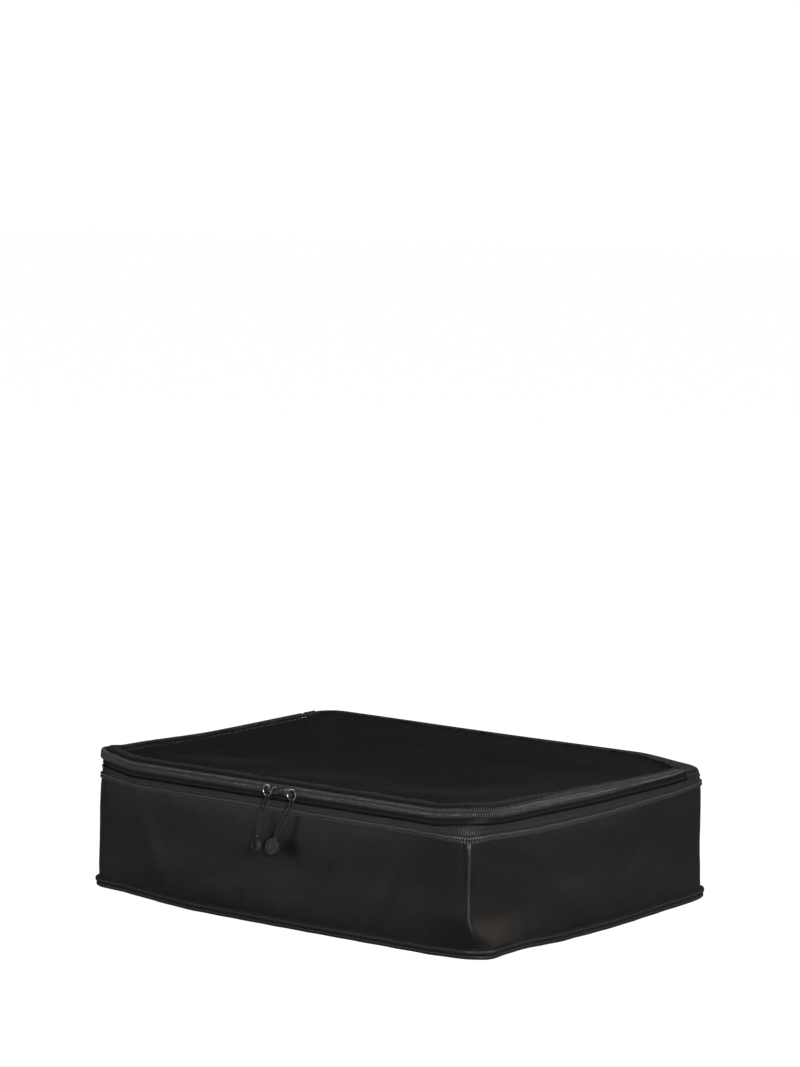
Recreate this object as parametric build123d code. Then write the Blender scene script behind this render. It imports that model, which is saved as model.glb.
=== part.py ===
"""Packing cube: a soft zipped travel bag with a mesh lid. Millimetres, +Z up.

The origin is the middle of the base panel's underside. The long zipped face is the front, at -Y, and the
lid hinges along the back, at +Y. "Out" is the distance outward from the wall's outer face, and is negative
inside the bag. Every strip round the bag is a ring or a part of one, at its own span of "out" and of height.
"""

from build123d import *
import math
import os

# Bag
WALL_W = 442.0  # outer face to outer face of the side wall, along X
WALL_D = 328.0  # the same along Y
CORNER_R = 22.0  # the wall's outer corner radius
FABRIC_T = 1.0  # lined nylon
WALL_H = 102.0  # height of the wall panels
BACK_SEAM_INSET = 45.0  # from the bag's side to the seam that joins the wall strip to the back panel
SEAM_BINDING_W = 8.0  # the binding over that seam, inside the bag

# Bindings and bands round the bag
BASE_BINDING_H = 9.0
BASE_BINDING_OUT = 3.2
BASE_BINDING_ROUND = 1.4
RIM_BINDING_H = 5.0
RIM_BINDING_OUT = 2.2
RIM_BINDING_ROUND = 1.0
RIM_BAND_H = 7.2
RIM_BAND_T = 1.2

# Zip: a size 5 coil, with its tape on the outside of the rim band
TAPE_T = 0.8
TAPE_LAP = 1.5  # how far the lower tape overlaps the rim band
TAPE_SHOWN = 7.2  # tape between the rim band's top and the coil
COIL_W = 3.1  # one row
COIL_T = 2.0
COIL_ROUND = 0.7
COIL_GAP = 1.0  # between the rows, where the slider's post runs
ZIP_END_BEFORE_ARC = 6.0  # the zip ends this far before the back corners' arcs
TAB_L = 14.0  # end tabs, along Y
TAB_T = 0.8

# Lid
LID_BINDING_T = 3.0
LID_BINDING_H = 2.5
LID_BINDING_ROUND = 0.9
MESH_T = 0.8
MESH_BELOW_TOP = 1.2  # from the lid binding's top to the mesh panel's
SLIDER_TO_BINDING = 0.5  # room between a slider and the lid binding

# Sliders
SLIDER_APART = 17.0  # between the two sliders' centres
PAIR_AT = 3.5  # middle of the pair, along X
SLIDER_L = 11.0
SLIDER_OVER_COIL = 0.6  # how far a slider's plates reach past the coil's two rows
SLIDER_TAPER = 2.0  # how much lower the plates are at the tail than at the nose
PLATE_T = 1.0
PLATE_ROUND = 0.9
ROOM = 0.3  # clearance between a slider and what runs through it
POST_L = 2.5
POST_T = 0.6
POST_AT = 3.5  # towards the nose, from the slider's centre
FLANGE_T = 0.4
CROWN_L = 7.0
CROWN_W = 2.2
CROWN_T = 1.1
CROWN_LEG = 1.2
CROWN_ROUND = 1.0
CROWN_AT = -1.1  # middle of the crown, towards the nose, where the pull ring's wire passes through
TUNNEL_H = 2.2

# Pulls
RING_R = 4.6  # to the middle of the wire
LEFT_RING_TURN = 20.0  # degrees that each ring lies below level
RIGHT_RING_TURN = 30.0
WIRE_R = 0.55
CORD_D = 1.3
DISC_R = 7.4
DISC_T = 4.4
DISC_ROUND = 0.8
DISH_R = 5.2
DISH_DEPTH = 0.9
NECK_R = 2.1
NECK_H = 1.6
NECK_SUNK = 1.0  # how far the neck runs into the disc's edge

# Heights that follow from the sizes above
rim_binding_z = WALL_H - RIM_BINDING_H / 2
band_top = WALL_H + RIM_BAND_H
lower_coil_z = band_top + TAPE_SHOWN
split_low = lower_coil_z + COIL_W
split_high = split_low + COIL_GAP
split_z = (split_low + split_high) / 2
slider_h = 2 * (COIL_W + SLIDER_OVER_COIL) + COIL_GAP
slider_top = split_z + slider_h / 2
lid_binding_z = slider_top + SLIDER_TO_BINDING
lid_top = lid_binding_z + LID_BINDING_H
mesh_z = lid_top - MESH_BELOW_TOP - MESH_T

# Places that follow
front = -WALL_D / 2
zip_end = WALL_D / 2 - CORNER_R - ZIP_END_BEFORE_ARC
coil_out = TAPE_T + COIL_T
outer_plate = coil_out + ROOM
crown_base = outer_plate + PLATE_T
ring_out = crown_base + TUNNEL_H / 2
back_seam = WALL_W / 2 - BACK_SEAM_INSET


def outline(out):
    """The bag's plan, moved out from the wall's outer face."""
    return RectangleRounded(WALL_W + 2 * out, WALL_D + 2 * out, CORNER_R + out)


def ring(inner, outer, low, high):
    """A strip right round the bag."""
    return Pos(0, 0, low) * extrude(outline(outer) - outline(inner), high - low)


def beyond(y, towards_back):
    """A block that holds all of the bag on one side of a plane across Y."""
    size = 2 * (WALL_W + WALL_D)
    middle = y + size / 2 if towards_back else y - size / 2
    return Pos(0, middle, 0) * Box(size, size, size)


def zip_side(shape, end=zip_end):
    """The part of a ring that the zip covers: the front and the two sides, up to end."""
    return shape - beyond(end, True)


def hinge_side(shape):
    """The rest of a ring: the back and its two corners."""
    return shape - beyond(zip_end, False)


def level_edges(shape, heights, out):
    """A ring's edges at these heights, on its face that lies at out."""
    far = WALL_W / 2 + out
    found = []
    for edge in shape.edges():
        box = edge.bounding_box()
        level = any(abs(box.min.Z - z) < 1e-4 and abs(box.max.Z - z) < 1e-4 for z in heights)
        reach = max(abs(box.min.X), abs(box.max.X))
        side = max(abs(box.min.Y), abs(box.max.Y))
        on_face = abs(reach - far) < 1e-3 or abs(side - (WALL_D / 2 + out)) < 1e-3
        if level and on_face and not crosses(edge, out):
            found.append(edge)
    return found


def crosses(edge, out):
    """True for an edge across a strip's cut end, which isn't on its long face."""
    box = edge.bounding_box()
    flat = abs(box.max.Y - box.min.Y) < 1e-4
    at_end = abs(box.max.Y - (WALL_D / 2 + out)) > 1e-3 and abs(box.min.Y + WALL_D / 2 + out) > 1e-3
    return flat and at_end


def rounded_ring(inner, outer, low, high, radius):
    """A ring whose two outer edges are rounded."""
    shape = ring(inner, outer, low, high)
    return fillet(level_edges(shape, (low, high), outer), radius)


# Bag


def base_panel():
    return extrude(outline(-FABRIC_T), FABRIC_T)


def side_wall():
    """One strip that covers the left, front and right faces and turns the back corners to the two seams."""
    size = 2 * back_seam
    middle_of_back = Pos(0, WALL_D / 2, 0) * Box(size, 4 * FABRIC_T, 4 * WALL_H)
    return ring(-FABRIC_T, 0, 0, WALL_H) - middle_of_back


def back_wall():
    return Pos(0, (WALL_D - FABRIC_T) / 2, WALL_H / 2) * Box(2 * back_seam, FABRIC_T, WALL_H)


def back_seam_bindings():
    """Two strips inside the bag, one over each seam of the back panel."""
    low = FABRIC_T
    y = WALL_D / 2 - 1.5 * FABRIC_T
    strip = Pos(0, y, (low + WALL_H) / 2) * Box(SEAM_BINDING_W, FABRIC_T, WALL_H - low)
    return [Pos(side * back_seam, 0, 0) * strip for side in (-1, 1)]


def base_binding():
    return rounded_ring(0, BASE_BINDING_OUT, 0, BASE_BINDING_H, BASE_BINDING_ROUND)


def rim_binding():
    top = rim_binding_z + RIM_BINDING_H
    return rounded_ring(0, RIM_BINDING_OUT, rim_binding_z, top, RIM_BINDING_ROUND)


def rim_band():
    return ring(-RIM_BAND_T, 0, WALL_H, band_top)


# Zip and hinge


def lower_strip():
    return ring(0, TAPE_T, band_top - TAPE_LAP, split_low)


def upper_strip():
    return ring(0, TAPE_T, split_high, lid_top)


def coil(low):
    """One row of the zip's coil, on the tape's outer face, up to the end tabs."""
    row = rounded_ring(TAPE_T, coil_out, low, low + COIL_W, COIL_ROUND)
    return zip_side(row, zip_end - TAB_L / 2 - ROOM)


def end_tabs(low, high):
    """Two folded tabs, over the zip's two ends."""
    out = WALL_W / 2 + TAPE_T + TAB_T / 2
    tab = Pos(0, zip_end, (low + high) / 2) * Box(TAB_T, TAB_L, high - low)
    return [Pos(side * out, 0, 0) * tab for side in (-1, 1)]


# Lid


def lid_binding():
    return ring(-LID_BINDING_T, 0, lid_binding_z, lid_top)


def mesh_panel():
    return Pos(0, 0, mesh_z) * extrude(outline(-LID_BINDING_T), MESH_T)


# Sliders and pulls


class Slider:
    """Places on one slider. side is -1 for the left one, whose nose points to +X, and 1 for the right one."""

    def __init__(self, side):
        self.nose = -side
        self.x = PAIR_AT + side * SLIDER_APART / 2
        self.ring_turn = math.radians(LEFT_RING_TURN if side < 0 else RIGHT_RING_TURN)

    def at(self, along, out, z):
        """A point along the slider towards its nose, out from the wall, at a height."""
        return (self.x + self.nose * along, front - out, z)

    def ring_pivot(self):
        """Where the ring's wire lies under the crown."""
        return Vector(*self.at(CROWN_AT, ring_out, split_z))

    def ring_centre(self):
        turn = self.ring_turn
        return self.ring_pivot() + Vector(-self.nose * math.cos(turn), 0, -math.sin(turn)) * RING_R

    def ring_bottom(self):
        return self.ring_centre() - Vector(0, 0, RING_R)

    def block(self, along, out, z):
        """A box from three spans: along the slider, out from the wall, and in height."""
        sizes = [span[1] - span[0] for span in (along, out, z)]
        middle = [sum(span) / 2 for span in (along, out, z)]
        return Pos(*self.at(*middle)) * Box(*sizes)

    def plate(self, out):
        """One of the slider's two plates, wide at the nose and narrow at the tail."""
        half, tail = slider_h / 2, (slider_h - SLIDER_TAPER) / 2
        points = [
            (self.nose * -SLIDER_L / 2, -tail),
            (self.nose * 0, -half),
            (self.nose * SLIDER_L / 2, -half),
            (self.nose * SLIDER_L / 2, half),
            (self.nose * 0, half),
            (self.nose * -SLIDER_L / 2, tail),
        ]
        face = make_face(Polyline(*points, close=True))
        corners = face.vertices().filter_by(lambda v: abs(abs(v.X) - SLIDER_L / 2) < 1e-3)
        face = fillet(corners, PLATE_ROUND)
        centre = Vector(self.x, front - out, split_z)
        return Plane(centre, x_dir=(1, 0, 0), z_dir=(0, -1, 0)) * extrude(face, PLATE_T)

    def solid(self):
        """The slider: two plates round the coils, the post between the rows, the flange under the lower row
        and the crown that carries the pull ring."""
        inner = -ROOM - PLATE_T
        shape = self.plate(outer_plate) + self.plate(inner)
        half_post = POST_L / 2
        along = (POST_AT - half_post, POST_AT + half_post)
        shape += self.block(along, (inner, crown_base), (split_z - POST_T / 2, split_z + POST_T / 2))
        bottom = split_z - slider_h / 2
        flange = (0, SLIDER_L / 2 - PLATE_ROUND)
        shape += self.block(flange, (TAPE_T + ROOM, outer_plate + ROOM), (bottom, bottom + FLANGE_T))
        return shape + self.crown()

    def crown(self):
        """An arch along the slider, open below for the ring's wire."""
        top = crown_base + TUNNEL_H + CROWN_T
        along = (CROWN_AT - CROWN_L / 2, CROWN_AT + CROWN_L / 2)
        z = (split_z - CROWN_W / 2, split_z + CROWN_W / 2)
        arch = self.block(along, (crown_base - PLATE_T / 2, top), z)
        far = front - top
        arch = fillet(arch.edges().filter_by(Axis.Z).filter_by(lambda e: abs(e.center().Y - far) < 1e-4), CROWN_ROUND)
        tunnel = (along[0] + CROWN_LEG, along[1] - CROWN_LEG)
        return arch - self.block(tunnel, (crown_base, crown_base + TUNNEL_H), (split_z - CROWN_W, split_z + CROWN_W))

    def ring(self):
        return Plane(self.ring_centre(), x_dir=(1, 0, 0), z_dir=(0, -1, 0)) * Torus(RING_R, WIRE_R)


# A cord goes up from its disc, over the ring's wire and down again. Each route is a list of points from the
# ring's lowest point, with X to the right, Y towards the back and Z up.
LEFT_ROUTE = [
    (-5.2, -7.9, -33.8),
    (-4.6, -7.2, -25.6),
    (-3.2, -6.4, -17.0),
    (-1.8, -4.4, -9.2),
    (-0.4, -2.0, -3.6),
    (0.0, -1.5, 1.5),
    (0.0, 1.5, 1.5),
    (0.1, 1.6, -3.6),
    (-0.4, -1.2, -9.2),
    (-1.6, -4.6, -17.0),
    (-2.9, -6.4, -25.6),
    (-3.4, -7.8, -33.8),
]
RIGHT_ROUTE = [
    (-10.7, -9.0, -31.8),
    (-8.8, -8.2, -24.2),
    (-6.0, -6.6, -16.4),
    (-3.0, -4.5, -9.2),
    (-0.6, -2.0, -3.6),
    (0.0, -1.5, 1.5),
    (0.0, 1.5, 1.5),
    (0.3, 1.6, -3.6),
    (0.0, -1.2, -9.3),
    (-2.4, -4.9, -16.6),
    (-5.7, -7.3, -24.6),
    (-8.8, -8.9, -32.4),
]
LEFT_DISC_TURN = -28.0  # degrees about Z, from facing the front
RIGHT_DISC_TURN = -5.0


def arc_radii(points):
    """The largest arc that each corner's two runs leave room for."""
    radii = []
    for before, here, after in zip(points, points[1:], points[2:]):
        shorter = min((here - before).length, (after - here).length)
        half_turn = math.radians((here - before).get_angle(after - here)) / 2
        radii.append(0.45 * shorter / math.tan(half_turn))
    return radii


def cord(start, route, name):
    """A tube along a route's runs and the arcs that join them."""
    points = [start + Vector(*p) for p in route]
    radii = arc_radii(points)
    path = FilletPolyline(*points, radius=radii)
    section = Plane(path @ 0, z_dir=path % 0) * Circle(CORD_D / 2)
    tube = sweep(section, path=path, transition=Transition.ROUND)
    expected = math.pi * (CORD_D / 2) ** 2 * path.length
    print(name, "arcs", [round(r, 1) for r in radii], "length", round(path.length, 1))
    print(name, "volume", round(tube.volume, 2), "section times length", round(expected, 2))
    return tube


def disc(start, route, turn):
    """A moulded disc, dished on both faces, with a neck that the cord's two ends go into."""
    ends = [start + Vector(*route[0]), start + Vector(*route[-1])]
    top = (ends[0] + ends[1]) * 0.5
    rising = [Vector(*route[1]) - Vector(*route[0]), Vector(*route[-2]) - Vector(*route[-1])]
    up = (rising[0] + rising[1]).normalized()
    centre = top - up * (DISC_R + NECK_H)
    angle = math.radians(turn)
    facing = Vector(math.sin(angle), -math.cos(angle), 0)
    facing = (facing - up * facing.dot(up)).normalized()
    body = Cylinder(DISC_R, DISC_T)
    body = fillet(body.edges(), DISC_ROUND)
    for side in (-1, 1):
        dish = Cylinder(DISH_R, DISH_DEPTH)
        body -= Pos(0, 0, side * (DISC_T - DISH_DEPTH) / 2) * dish
    neck = Pos(0, DISC_R + (NECK_H - NECK_SUNK) / 2, 0) * Rot(90, 0, 0) * Cylinder(NECK_R, NECK_H + NECK_SUNK)
    return Plane(centre, x_dir=up.cross(facing), z_dir=facing) * (body + neck)


def save(name, solids):
    shape = Compound(solids) if isinstance(solids, list) else solids
    export_step(shape, os.path.join("parts", name + ".step"))


def main():
    os.makedirs("parts", exist_ok=True)
    save("base_panel", base_panel())
    save("side_wall", side_wall())
    save("back_wall", back_wall())
    save("back_seam_bindings", back_seam_bindings())
    save("base_binding", base_binding())
    save("rim_binding", rim_binding())
    save("rim_band", rim_band())
    save("lower_zip_tape", zip_side(lower_strip()))
    save("lower_hinge_flap", hinge_side(lower_strip()))
    save("lower_zip_coil", coil(lower_coil_z))
    save("lower_zip_end_tabs", end_tabs(band_top - TAPE_LAP, split_low))
    save("upper_zip_tape", zip_side(upper_strip()))
    save("upper_hinge_flap", hinge_side(upper_strip()))
    save("upper_zip_coil", coil(split_high))
    save("upper_zip_end_tabs", end_tabs(split_high, lid_top))
    save("lid_binding", lid_binding())
    save("mesh_panel", mesh_panel())
    for name, side, route, turn in (
        ("left", -1, LEFT_ROUTE, LEFT_DISC_TURN),
        ("right", 1, RIGHT_ROUTE, RIGHT_DISC_TURN),
    ):
        slider = Slider(side)
        bottom = slider.ring_bottom()
        save(name + "_slider", slider.solid())
        save(name + "_pull_ring", slider.ring())
        save(name + "_pull_cord", cord(bottom, route, name + "_pull_cord"))
        save(name + "_pull_disc", disc(bottom, route, turn))
        print(name, "ring bottom", bottom, "ring pivot", slider.ring_pivot())
    print("band top", band_top, "split", split_z, "lid top", lid_top, "mesh", mesh_z, "zip end", zip_end)


main()
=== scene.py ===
import math

import bmesh
import bpy
import numpy as np
from mathutils import Euler, Matrix, Vector


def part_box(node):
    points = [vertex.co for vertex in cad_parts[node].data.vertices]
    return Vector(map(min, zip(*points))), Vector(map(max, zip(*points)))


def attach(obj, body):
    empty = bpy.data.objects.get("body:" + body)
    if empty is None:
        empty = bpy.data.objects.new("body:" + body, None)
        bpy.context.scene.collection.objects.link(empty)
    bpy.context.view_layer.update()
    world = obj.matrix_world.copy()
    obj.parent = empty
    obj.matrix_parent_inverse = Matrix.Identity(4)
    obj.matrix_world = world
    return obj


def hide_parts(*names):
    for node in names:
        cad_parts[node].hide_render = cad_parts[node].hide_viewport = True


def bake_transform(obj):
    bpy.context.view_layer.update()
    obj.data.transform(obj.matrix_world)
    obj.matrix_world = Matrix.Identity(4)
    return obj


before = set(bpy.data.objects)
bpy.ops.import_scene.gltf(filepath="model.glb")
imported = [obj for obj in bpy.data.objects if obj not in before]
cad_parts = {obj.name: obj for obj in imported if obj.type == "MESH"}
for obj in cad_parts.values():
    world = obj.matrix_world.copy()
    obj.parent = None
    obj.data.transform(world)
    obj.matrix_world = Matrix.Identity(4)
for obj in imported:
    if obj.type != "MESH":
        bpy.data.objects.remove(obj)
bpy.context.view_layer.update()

# Sizes are in millimetres until a mesh is made. Every place comes from the frame's nodes.
MM = 0.001


def node_box(name):
    """A node's box, as two corners in millimetres."""
    low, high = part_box(name)
    return np.array(low) / MM, np.array(high) / MM


wall_high = node_box("side_wall")[1]
binding_low, binding_high = node_box("rim_binding")
band_high = node_box("rim_band")[1]
tape_high = node_box("lower_zip_tape")[1]
lower_coil_low, lower_coil_high = node_box("lower_zip_coil")
upper_coil_low, upper_coil_high = node_box("upper_zip_coil")
tab_low, tab_high = node_box("lower_zip_end_tabs")
seam_high = node_box("back_seam_bindings")[1]

HALF_X, HALF_Y = wall_high[0], wall_high[1]  # to the wall's outer faces
SEAM_Z = wall_high[2]  # top of the wall, where the rim band is sewn on
BAND_Z = band_high[2]
SPLIT_Z = (lower_coil_high[2] + upper_coil_low[2]) / 2
FABRIC_T = 1.0
ZIP_END = tape_high[1]
COIL_END = lower_coil_high[1]

# ---- The way round the bag ----
# A station is a distance round the wall's plan, from the middle of the back by way of the left side.

PLAN_R = 22.0  # the plan's own corner radius
RUN_X, RUN_Y = HALF_X - PLAN_R, HALF_Y - PLAN_R
ARC = math.pi / 2 * PLAN_R
STEPS = [0, RUN_X, ARC, 2 * RUN_Y, ARC, 2 * RUN_X, ARC, 2 * RUN_Y, ARC, RUN_X]
ENDS = np.cumsum(STEPS)
ROUND = ENDS[-1]
SIDE_X = [0, -1, -1, -1, -1, 1, 1, 1, 1, 0]
SIDE_Y = [1, 1, 1, -1, -1, -1, -1, 1, 1, 1]
ANGLE = np.radians([90, 90, 180, 180, 270, 270, 360, 360, 450, 450])

LEFT = (ENDS[2] + ENDS[3]) / 2
FRONT = (ENDS[4] + ENDS[5]) / 2
RIGHT = (ENDS[6] + ENDS[7]) / 2
BACK_LEFT = (ENDS[1] + ENDS[2]) / 2
FRONT_LEFT = (ENDS[3] + ENDS[4]) / 2
FRONT_RIGHT = (ENDS[5] + ENDS[6]) / 2
BACK_RIGHT = (ENDS[7] + ENDS[8]) / 2


def whole(pitch):
    """The pitch nearest to this one that goes round the bag a whole number of times."""
    return ROUND / round(ROUND / pitch)


def smooth(x):
    """Eases from 0 to 1."""
    x = np.clip(x, 0, 1)
    return x * x * (3 - 2 * x)


def keyed(*keys):
    """A smooth value round the bag that passes through (station, value) keys."""
    at = np.array([k[0] for k in keys], float)
    value = np.array([k[1] for k in keys], float)
    at = np.concatenate([[at[-1] - ROUND], at, [at[0] + ROUND]])
    value = np.concatenate([[value[-1]], value, [value[0]]])

    def read(s):
        s = np.mod(s, ROUND)
        i = np.clip(np.searchsorted(at, s, side="right") - 1, 0, len(at) - 2)
        share = smooth((s - at[i]) / (at[i + 1] - at[i]))
        return value[i] + (value[i + 1] - value[i]) * share

    return read


# ---- The soft shape ----
# A point is given by its station, its distance out from the wall's face and its height before the bag sags.

# How far the rim stands up at the sewn seam, and above the rim band.
seam_lift = keyed(
    (0, 0), (BACK_LEFT, 0.5), (LEFT, 0), (FRONT_LEFT - 30, 1.5), (FRONT_LEFT + 5, 4.6), (FRONT_LEFT + 60, 0.0),
    (FRONT - 20, 0), (FRONT_RIGHT - 70, 0), (FRONT_RIGHT, 0.8), (FRONT_RIGHT + 80, -1.0), (RIGHT, -0.8),
    (BACK_RIGHT - 70, 1.4), (BACK_RIGHT, 4.8), (BACK_RIGHT + 60, 2.0),
)
top_lift = keyed(
    (0, 0), (BACK_LEFT, 0.8), (LEFT, 0), (FRONT_LEFT - 30, 3.2), (FRONT_LEFT, 5.8), (FRONT_LEFT + 50, 0.0),
    (FRONT - 40, 0), (FRONT_RIGHT - 50, 0), (FRONT_RIGHT, 4.6), (FRONT_RIGHT + 45, 3.2), (RIGHT, 1.6),
    (BACK_RIGHT - 60, 2.0), (BACK_RIGHT, 4.6), (BACK_RIGHT + 70, 1.0),
)
foot_lift = keyed(
    (0, 0), (BACK_LEFT, 2.0), (LEFT, 0.5), (FRONT_LEFT - 20, 5.5), (FRONT_LEFT + 10, 5.6), (FRONT_LEFT + 130, 0),
    (FRONT_RIGHT - 60, 0), (FRONT_RIGHT, 2.0), (FRONT_RIGHT + 45, 3.4), (FRONT_RIGHT + 110, 0.6), (RIGHT + 10, 0),
    (BACK_RIGHT - 40, 1.2), (BACK_RIGHT, 3.2), (BACK_RIGHT + 60, 0),
)
# Where the strip above the seam starts to roll inwards and where it is level, along its own width.
roll_start = keyed(
    (0, 19.0), (BACK_LEFT, 18.5), (LEFT, 18.0), (FRONT_LEFT, 18.5), (FRONT_LEFT + 45, 21.7),
    (FRONT_RIGHT - 40, 21.7), (FRONT_RIGHT, 21.2), (FRONT_RIGHT + 45, 19.5), (RIGHT - 20, 14.5),
    (BACK_RIGHT - 60, 11.0), (BACK_RIGHT, 9.8), (BACK_RIGHT + 70, 18.5),
)
roll_end = keyed(
    (0, 24.5), (BACK_LEFT, 25.0), (LEFT, 26.5), (FRONT_LEFT, 26.5), (FRONT_LEFT + 45, 25.2),
    (FRONT_RIGHT - 40, 25.2), (FRONT_RIGHT, 25.4), (FRONT_RIGHT + 45, 25.5), (RIGHT - 20, 23.5),
    (BACK_RIGHT - 60, 18.0), (BACK_RIGHT, 14.5), (BACK_RIGHT + 70, 23.5),
)
ROLL_TO = math.radians(93)
belly = keyed(
    (0, 4.5), (BACK_LEFT, 0.6), (LEFT, 4.0), (FRONT_LEFT, 0.8), (FRONT - 60, 4.6), (FRONT + 60, 4.0),
    (FRONT_RIGHT, 0.2), (RIGHT - 30, 3.4), (BACK_RIGHT, -0.6),
)
flare = keyed(
    (0, 1.5), (BACK_LEFT, 1.5), (LEFT, 1.5), (FRONT_LEFT, 1.2), (FRONT, 3.6), (FRONT_RIGHT - 30, 2.5),
    (FRONT_RIGHT, 1.2), (RIGHT, 2.6), (BACK_RIGHT, 0.6),
)
seam_push = keyed(
    (0, 1.0), (BACK_LEFT, 0.5), (LEFT, 1.5), (FRONT_LEFT, 0.4), (FRONT - 90, 0.9), (FRONT + 90, 0.9),
    (FRONT_RIGHT, 0.3), (RIGHT, 2.0), (BACK_RIGHT, 0.8),
)
LEAN = 12.0  # how far the front right corner leans
LEAN_WIDE = 46.0  # along the wall, each way from the corner
BROAD_WAVE, FINE_WAVE, FOLD_SHARE = 0.4, 0.07, 0.6  # how strong the wall's waves and folds are
RADIUS_AT = [0, 14, 60, SEAM_Z, 130]
RADII = [15.0, 16.0, 19.0, 22.0, 25.0]


def waves(count, shortest, longest, seed):
    """A soft random height over (along, up), about 1 at its largest."""
    pick = np.random.default_rng(seed)
    length = pick.uniform(shortest, longest, count)
    turn = pick.uniform(0, math.pi, count)
    phase = pick.uniform(0, 2 * math.pi, count)

    def read(along, up):
        total = 0
        for size, angle, start in zip(length, turn, phase):
            cycles = np.round(ROUND * math.cos(angle) / size) / ROUND
            total = total + np.sin(2 * math.pi * (along * cycles + up * math.sin(angle) / size) + start)
        return total / math.sqrt(count)

    return read


broad = waves(9, 60, 150, 3)
fine = waves(12, 16, 40, 5)
pleats = waves(10, 9, 22, 8)

# Soft folds on the walls: station, height, turn from level in degrees, length, width, depth.
FOLDS = [
    (FRONT + 118, 46, 62, 55, 10, 1.5),
    (FRONT + 62, 58, 74, 46, 9, -1.2),
    (FRONT + 25, 30, 68, 40, 11, 1.1),
    (FRONT - 70, 36, 20, 70, 12, -0.9),
    (FRONT - 150, 62, 118, 42, 10, 1.2),
    (FRONT_RIGHT + 22, 16, 25, 28, 5, 1.3),
    (FRONT_RIGHT + 45, 78, 158, 60, 9, -1.0),
    (FRONT_RIGHT + 105, 44, 140, 70, 14, 1.2),
    (RIGHT + 60, 70, 40, 62, 11, -1.4),
    (RIGHT + 95, 34, 55, 48, 10, 1.2),
    (LEFT - 60, 50, 60, 60, 12, 1.3),
    (LEFT + 70, 40, 110, 50, 10, -1.2),
    (LEFT + 20, 24, 80, 40, 9, 1.0),
    (110, 45, 70, 50, 10, 1.2),
    (ROUND - 100, 50, 115, 55, 12, -1.3),
    (30, 30, 80, 42, 10, 1.0),
]


def folds(s, z):
    total = 0
    for station, height, turn, length, width, depth in FOLDS:
        along = np.mod(s - station + ROUND / 2, ROUND) - ROUND / 2
        up = z - height
        c, d = math.cos(math.radians(turn)), math.sin(math.radians(turn))
        run, across = along * c + up * d, up * c - along * d
        total = total + depth * np.exp(-((run / length) ** 2) - (across / width) ** 2)
    return total


def crease(s, z):
    """The pressed fold that stands up the front right corner."""
    along = s - (FRONT_RIGHT - 0.8 + 1.4 * smooth((z - 20) / 70) + 0.5 * np.sin(z / 13))
    wide = 1.7 + 2.4 * (1 - smooth((z - 15) / 50))
    tall = smooth((z - 10) / 14) * (1 - smooth((z - 88) / 8))
    return 0.7 * np.exp(-((along / wide) ** 2)) * tall


def swell(s, z):
    """How far the wall stands out from its plain shape."""
    share = np.clip(z / SEAM_Z, 0, 1)
    wall = np.sin(math.pi * share) ** 0.7
    total = belly(s) * wall * (1.15 - 0.5 * share)
    total = total + flare(s) * (1 - smooth(z / 60))
    total = total + seam_push(s) * smooth((z - 55) / 40) * (1 - smooth((z - SEAM_Z) / 8))
    relief = BROAD_WAVE * broad(s, z) + FINE_WAVE * fine(s, z) + FOLD_SHARE * folds(s, z)
    total = total + wall * relief * smooth((SEAM_Z - z) / 12)
    low = np.exp(-np.clip(z - 8, 0, None) / 9) * smooth((z - 6) / 6)
    high = np.exp(-np.clip(SEAM_Z - 4 - z, 0, None) / 7) * smooth((SEAM_Z - 2 - z) / 5)
    return total + pleats(s, 0 * z) * (0.45 * low + 0.2 * high) + crease(s, z)


def fold_out(s, z, angle):
    """How much further out than a round corner the cloth stands where a corner is folded to an edge."""
    turn = np.mod(angle, math.pi / 2)
    tall = smooth((z - 9) / 22) * (1 - smooth((z - SEAM_Z + 8) / 12))
    front = np.exp(-(((np.mod(s, ROUND) - FRONT_RIGHT) / 40) ** 2))
    power = 2 + (0.35 + 3.4 * front) * tall
    return (np.cos(turn) ** power + np.sin(turn) ** power + 1e-12) ** (-1 / power)


def lean(s, z):
    """How far the front right corner has slid towards the front's left, along the line square to its diagonal."""
    near = np.exp(-(((np.mod(s, ROUND) - FRONT_RIGHT) / LEAN_WIDE) ** 2))
    return LEAN * near * smooth((z - 1) / 36) * (1 - smooth((z - SEAM_Z) / 13))


def rise(s, z):
    """How far a point is lifted by the bag's soft rim and foot."""
    low = foot_lift(s) * (1 - smooth(z / 70))
    high = seam_lift(s) * smooth((z - 30) / (SEAM_Z - 30))
    return low + high + (top_lift(s) - seam_lift(s)) * smooth((z - SEAM_Z) / (BAND_Z - SEAM_Z))


def place(s, out, z):
    """Points in millimetres for stations, distances out and heights, with the soft shape applied."""
    s, out, z = np.broadcast_arrays(*(np.asarray(v, float) for v in (s, out, z)))
    turned = np.mod(s, ROUND)
    angle = np.interp(turned, ENDS, ANGLE)
    radius = np.interp(z, RADIUS_AT, RADII)
    first, last = roll_start(s), roll_end(s)
    up = z - SEAM_Z
    bend = ROLL_TO * np.clip((up - first) / (last - first), 0, 1)
    bend_r = (last - first) / ROLL_TO
    past = np.clip(up - last, 0, None)
    inward = bend_r * (1 - np.cos(bend)) + past * math.sin(ROLL_TO)
    height = np.minimum(up, first) + bend_r * np.sin(bend) + past * math.cos(ROLL_TO)
    reach = radius * fold_out(s, z, angle) + out * np.cos(bend) - inward + swell(s, z)
    slid = lean(s, z) * math.sqrt(0.5)
    x = np.interp(turned, ENDS, SIDE_X) * (HALF_X - radius) + reach * np.cos(angle) - slid
    y = np.interp(turned, ENDS, SIDE_Y) * (HALF_Y - radius) + reach * np.sin(angle) - slid
    return np.stack([x, y, SEAM_Z + height + out * np.sin(bend) + rise(s, z)], -1)


# ---- Meshes ----


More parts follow.
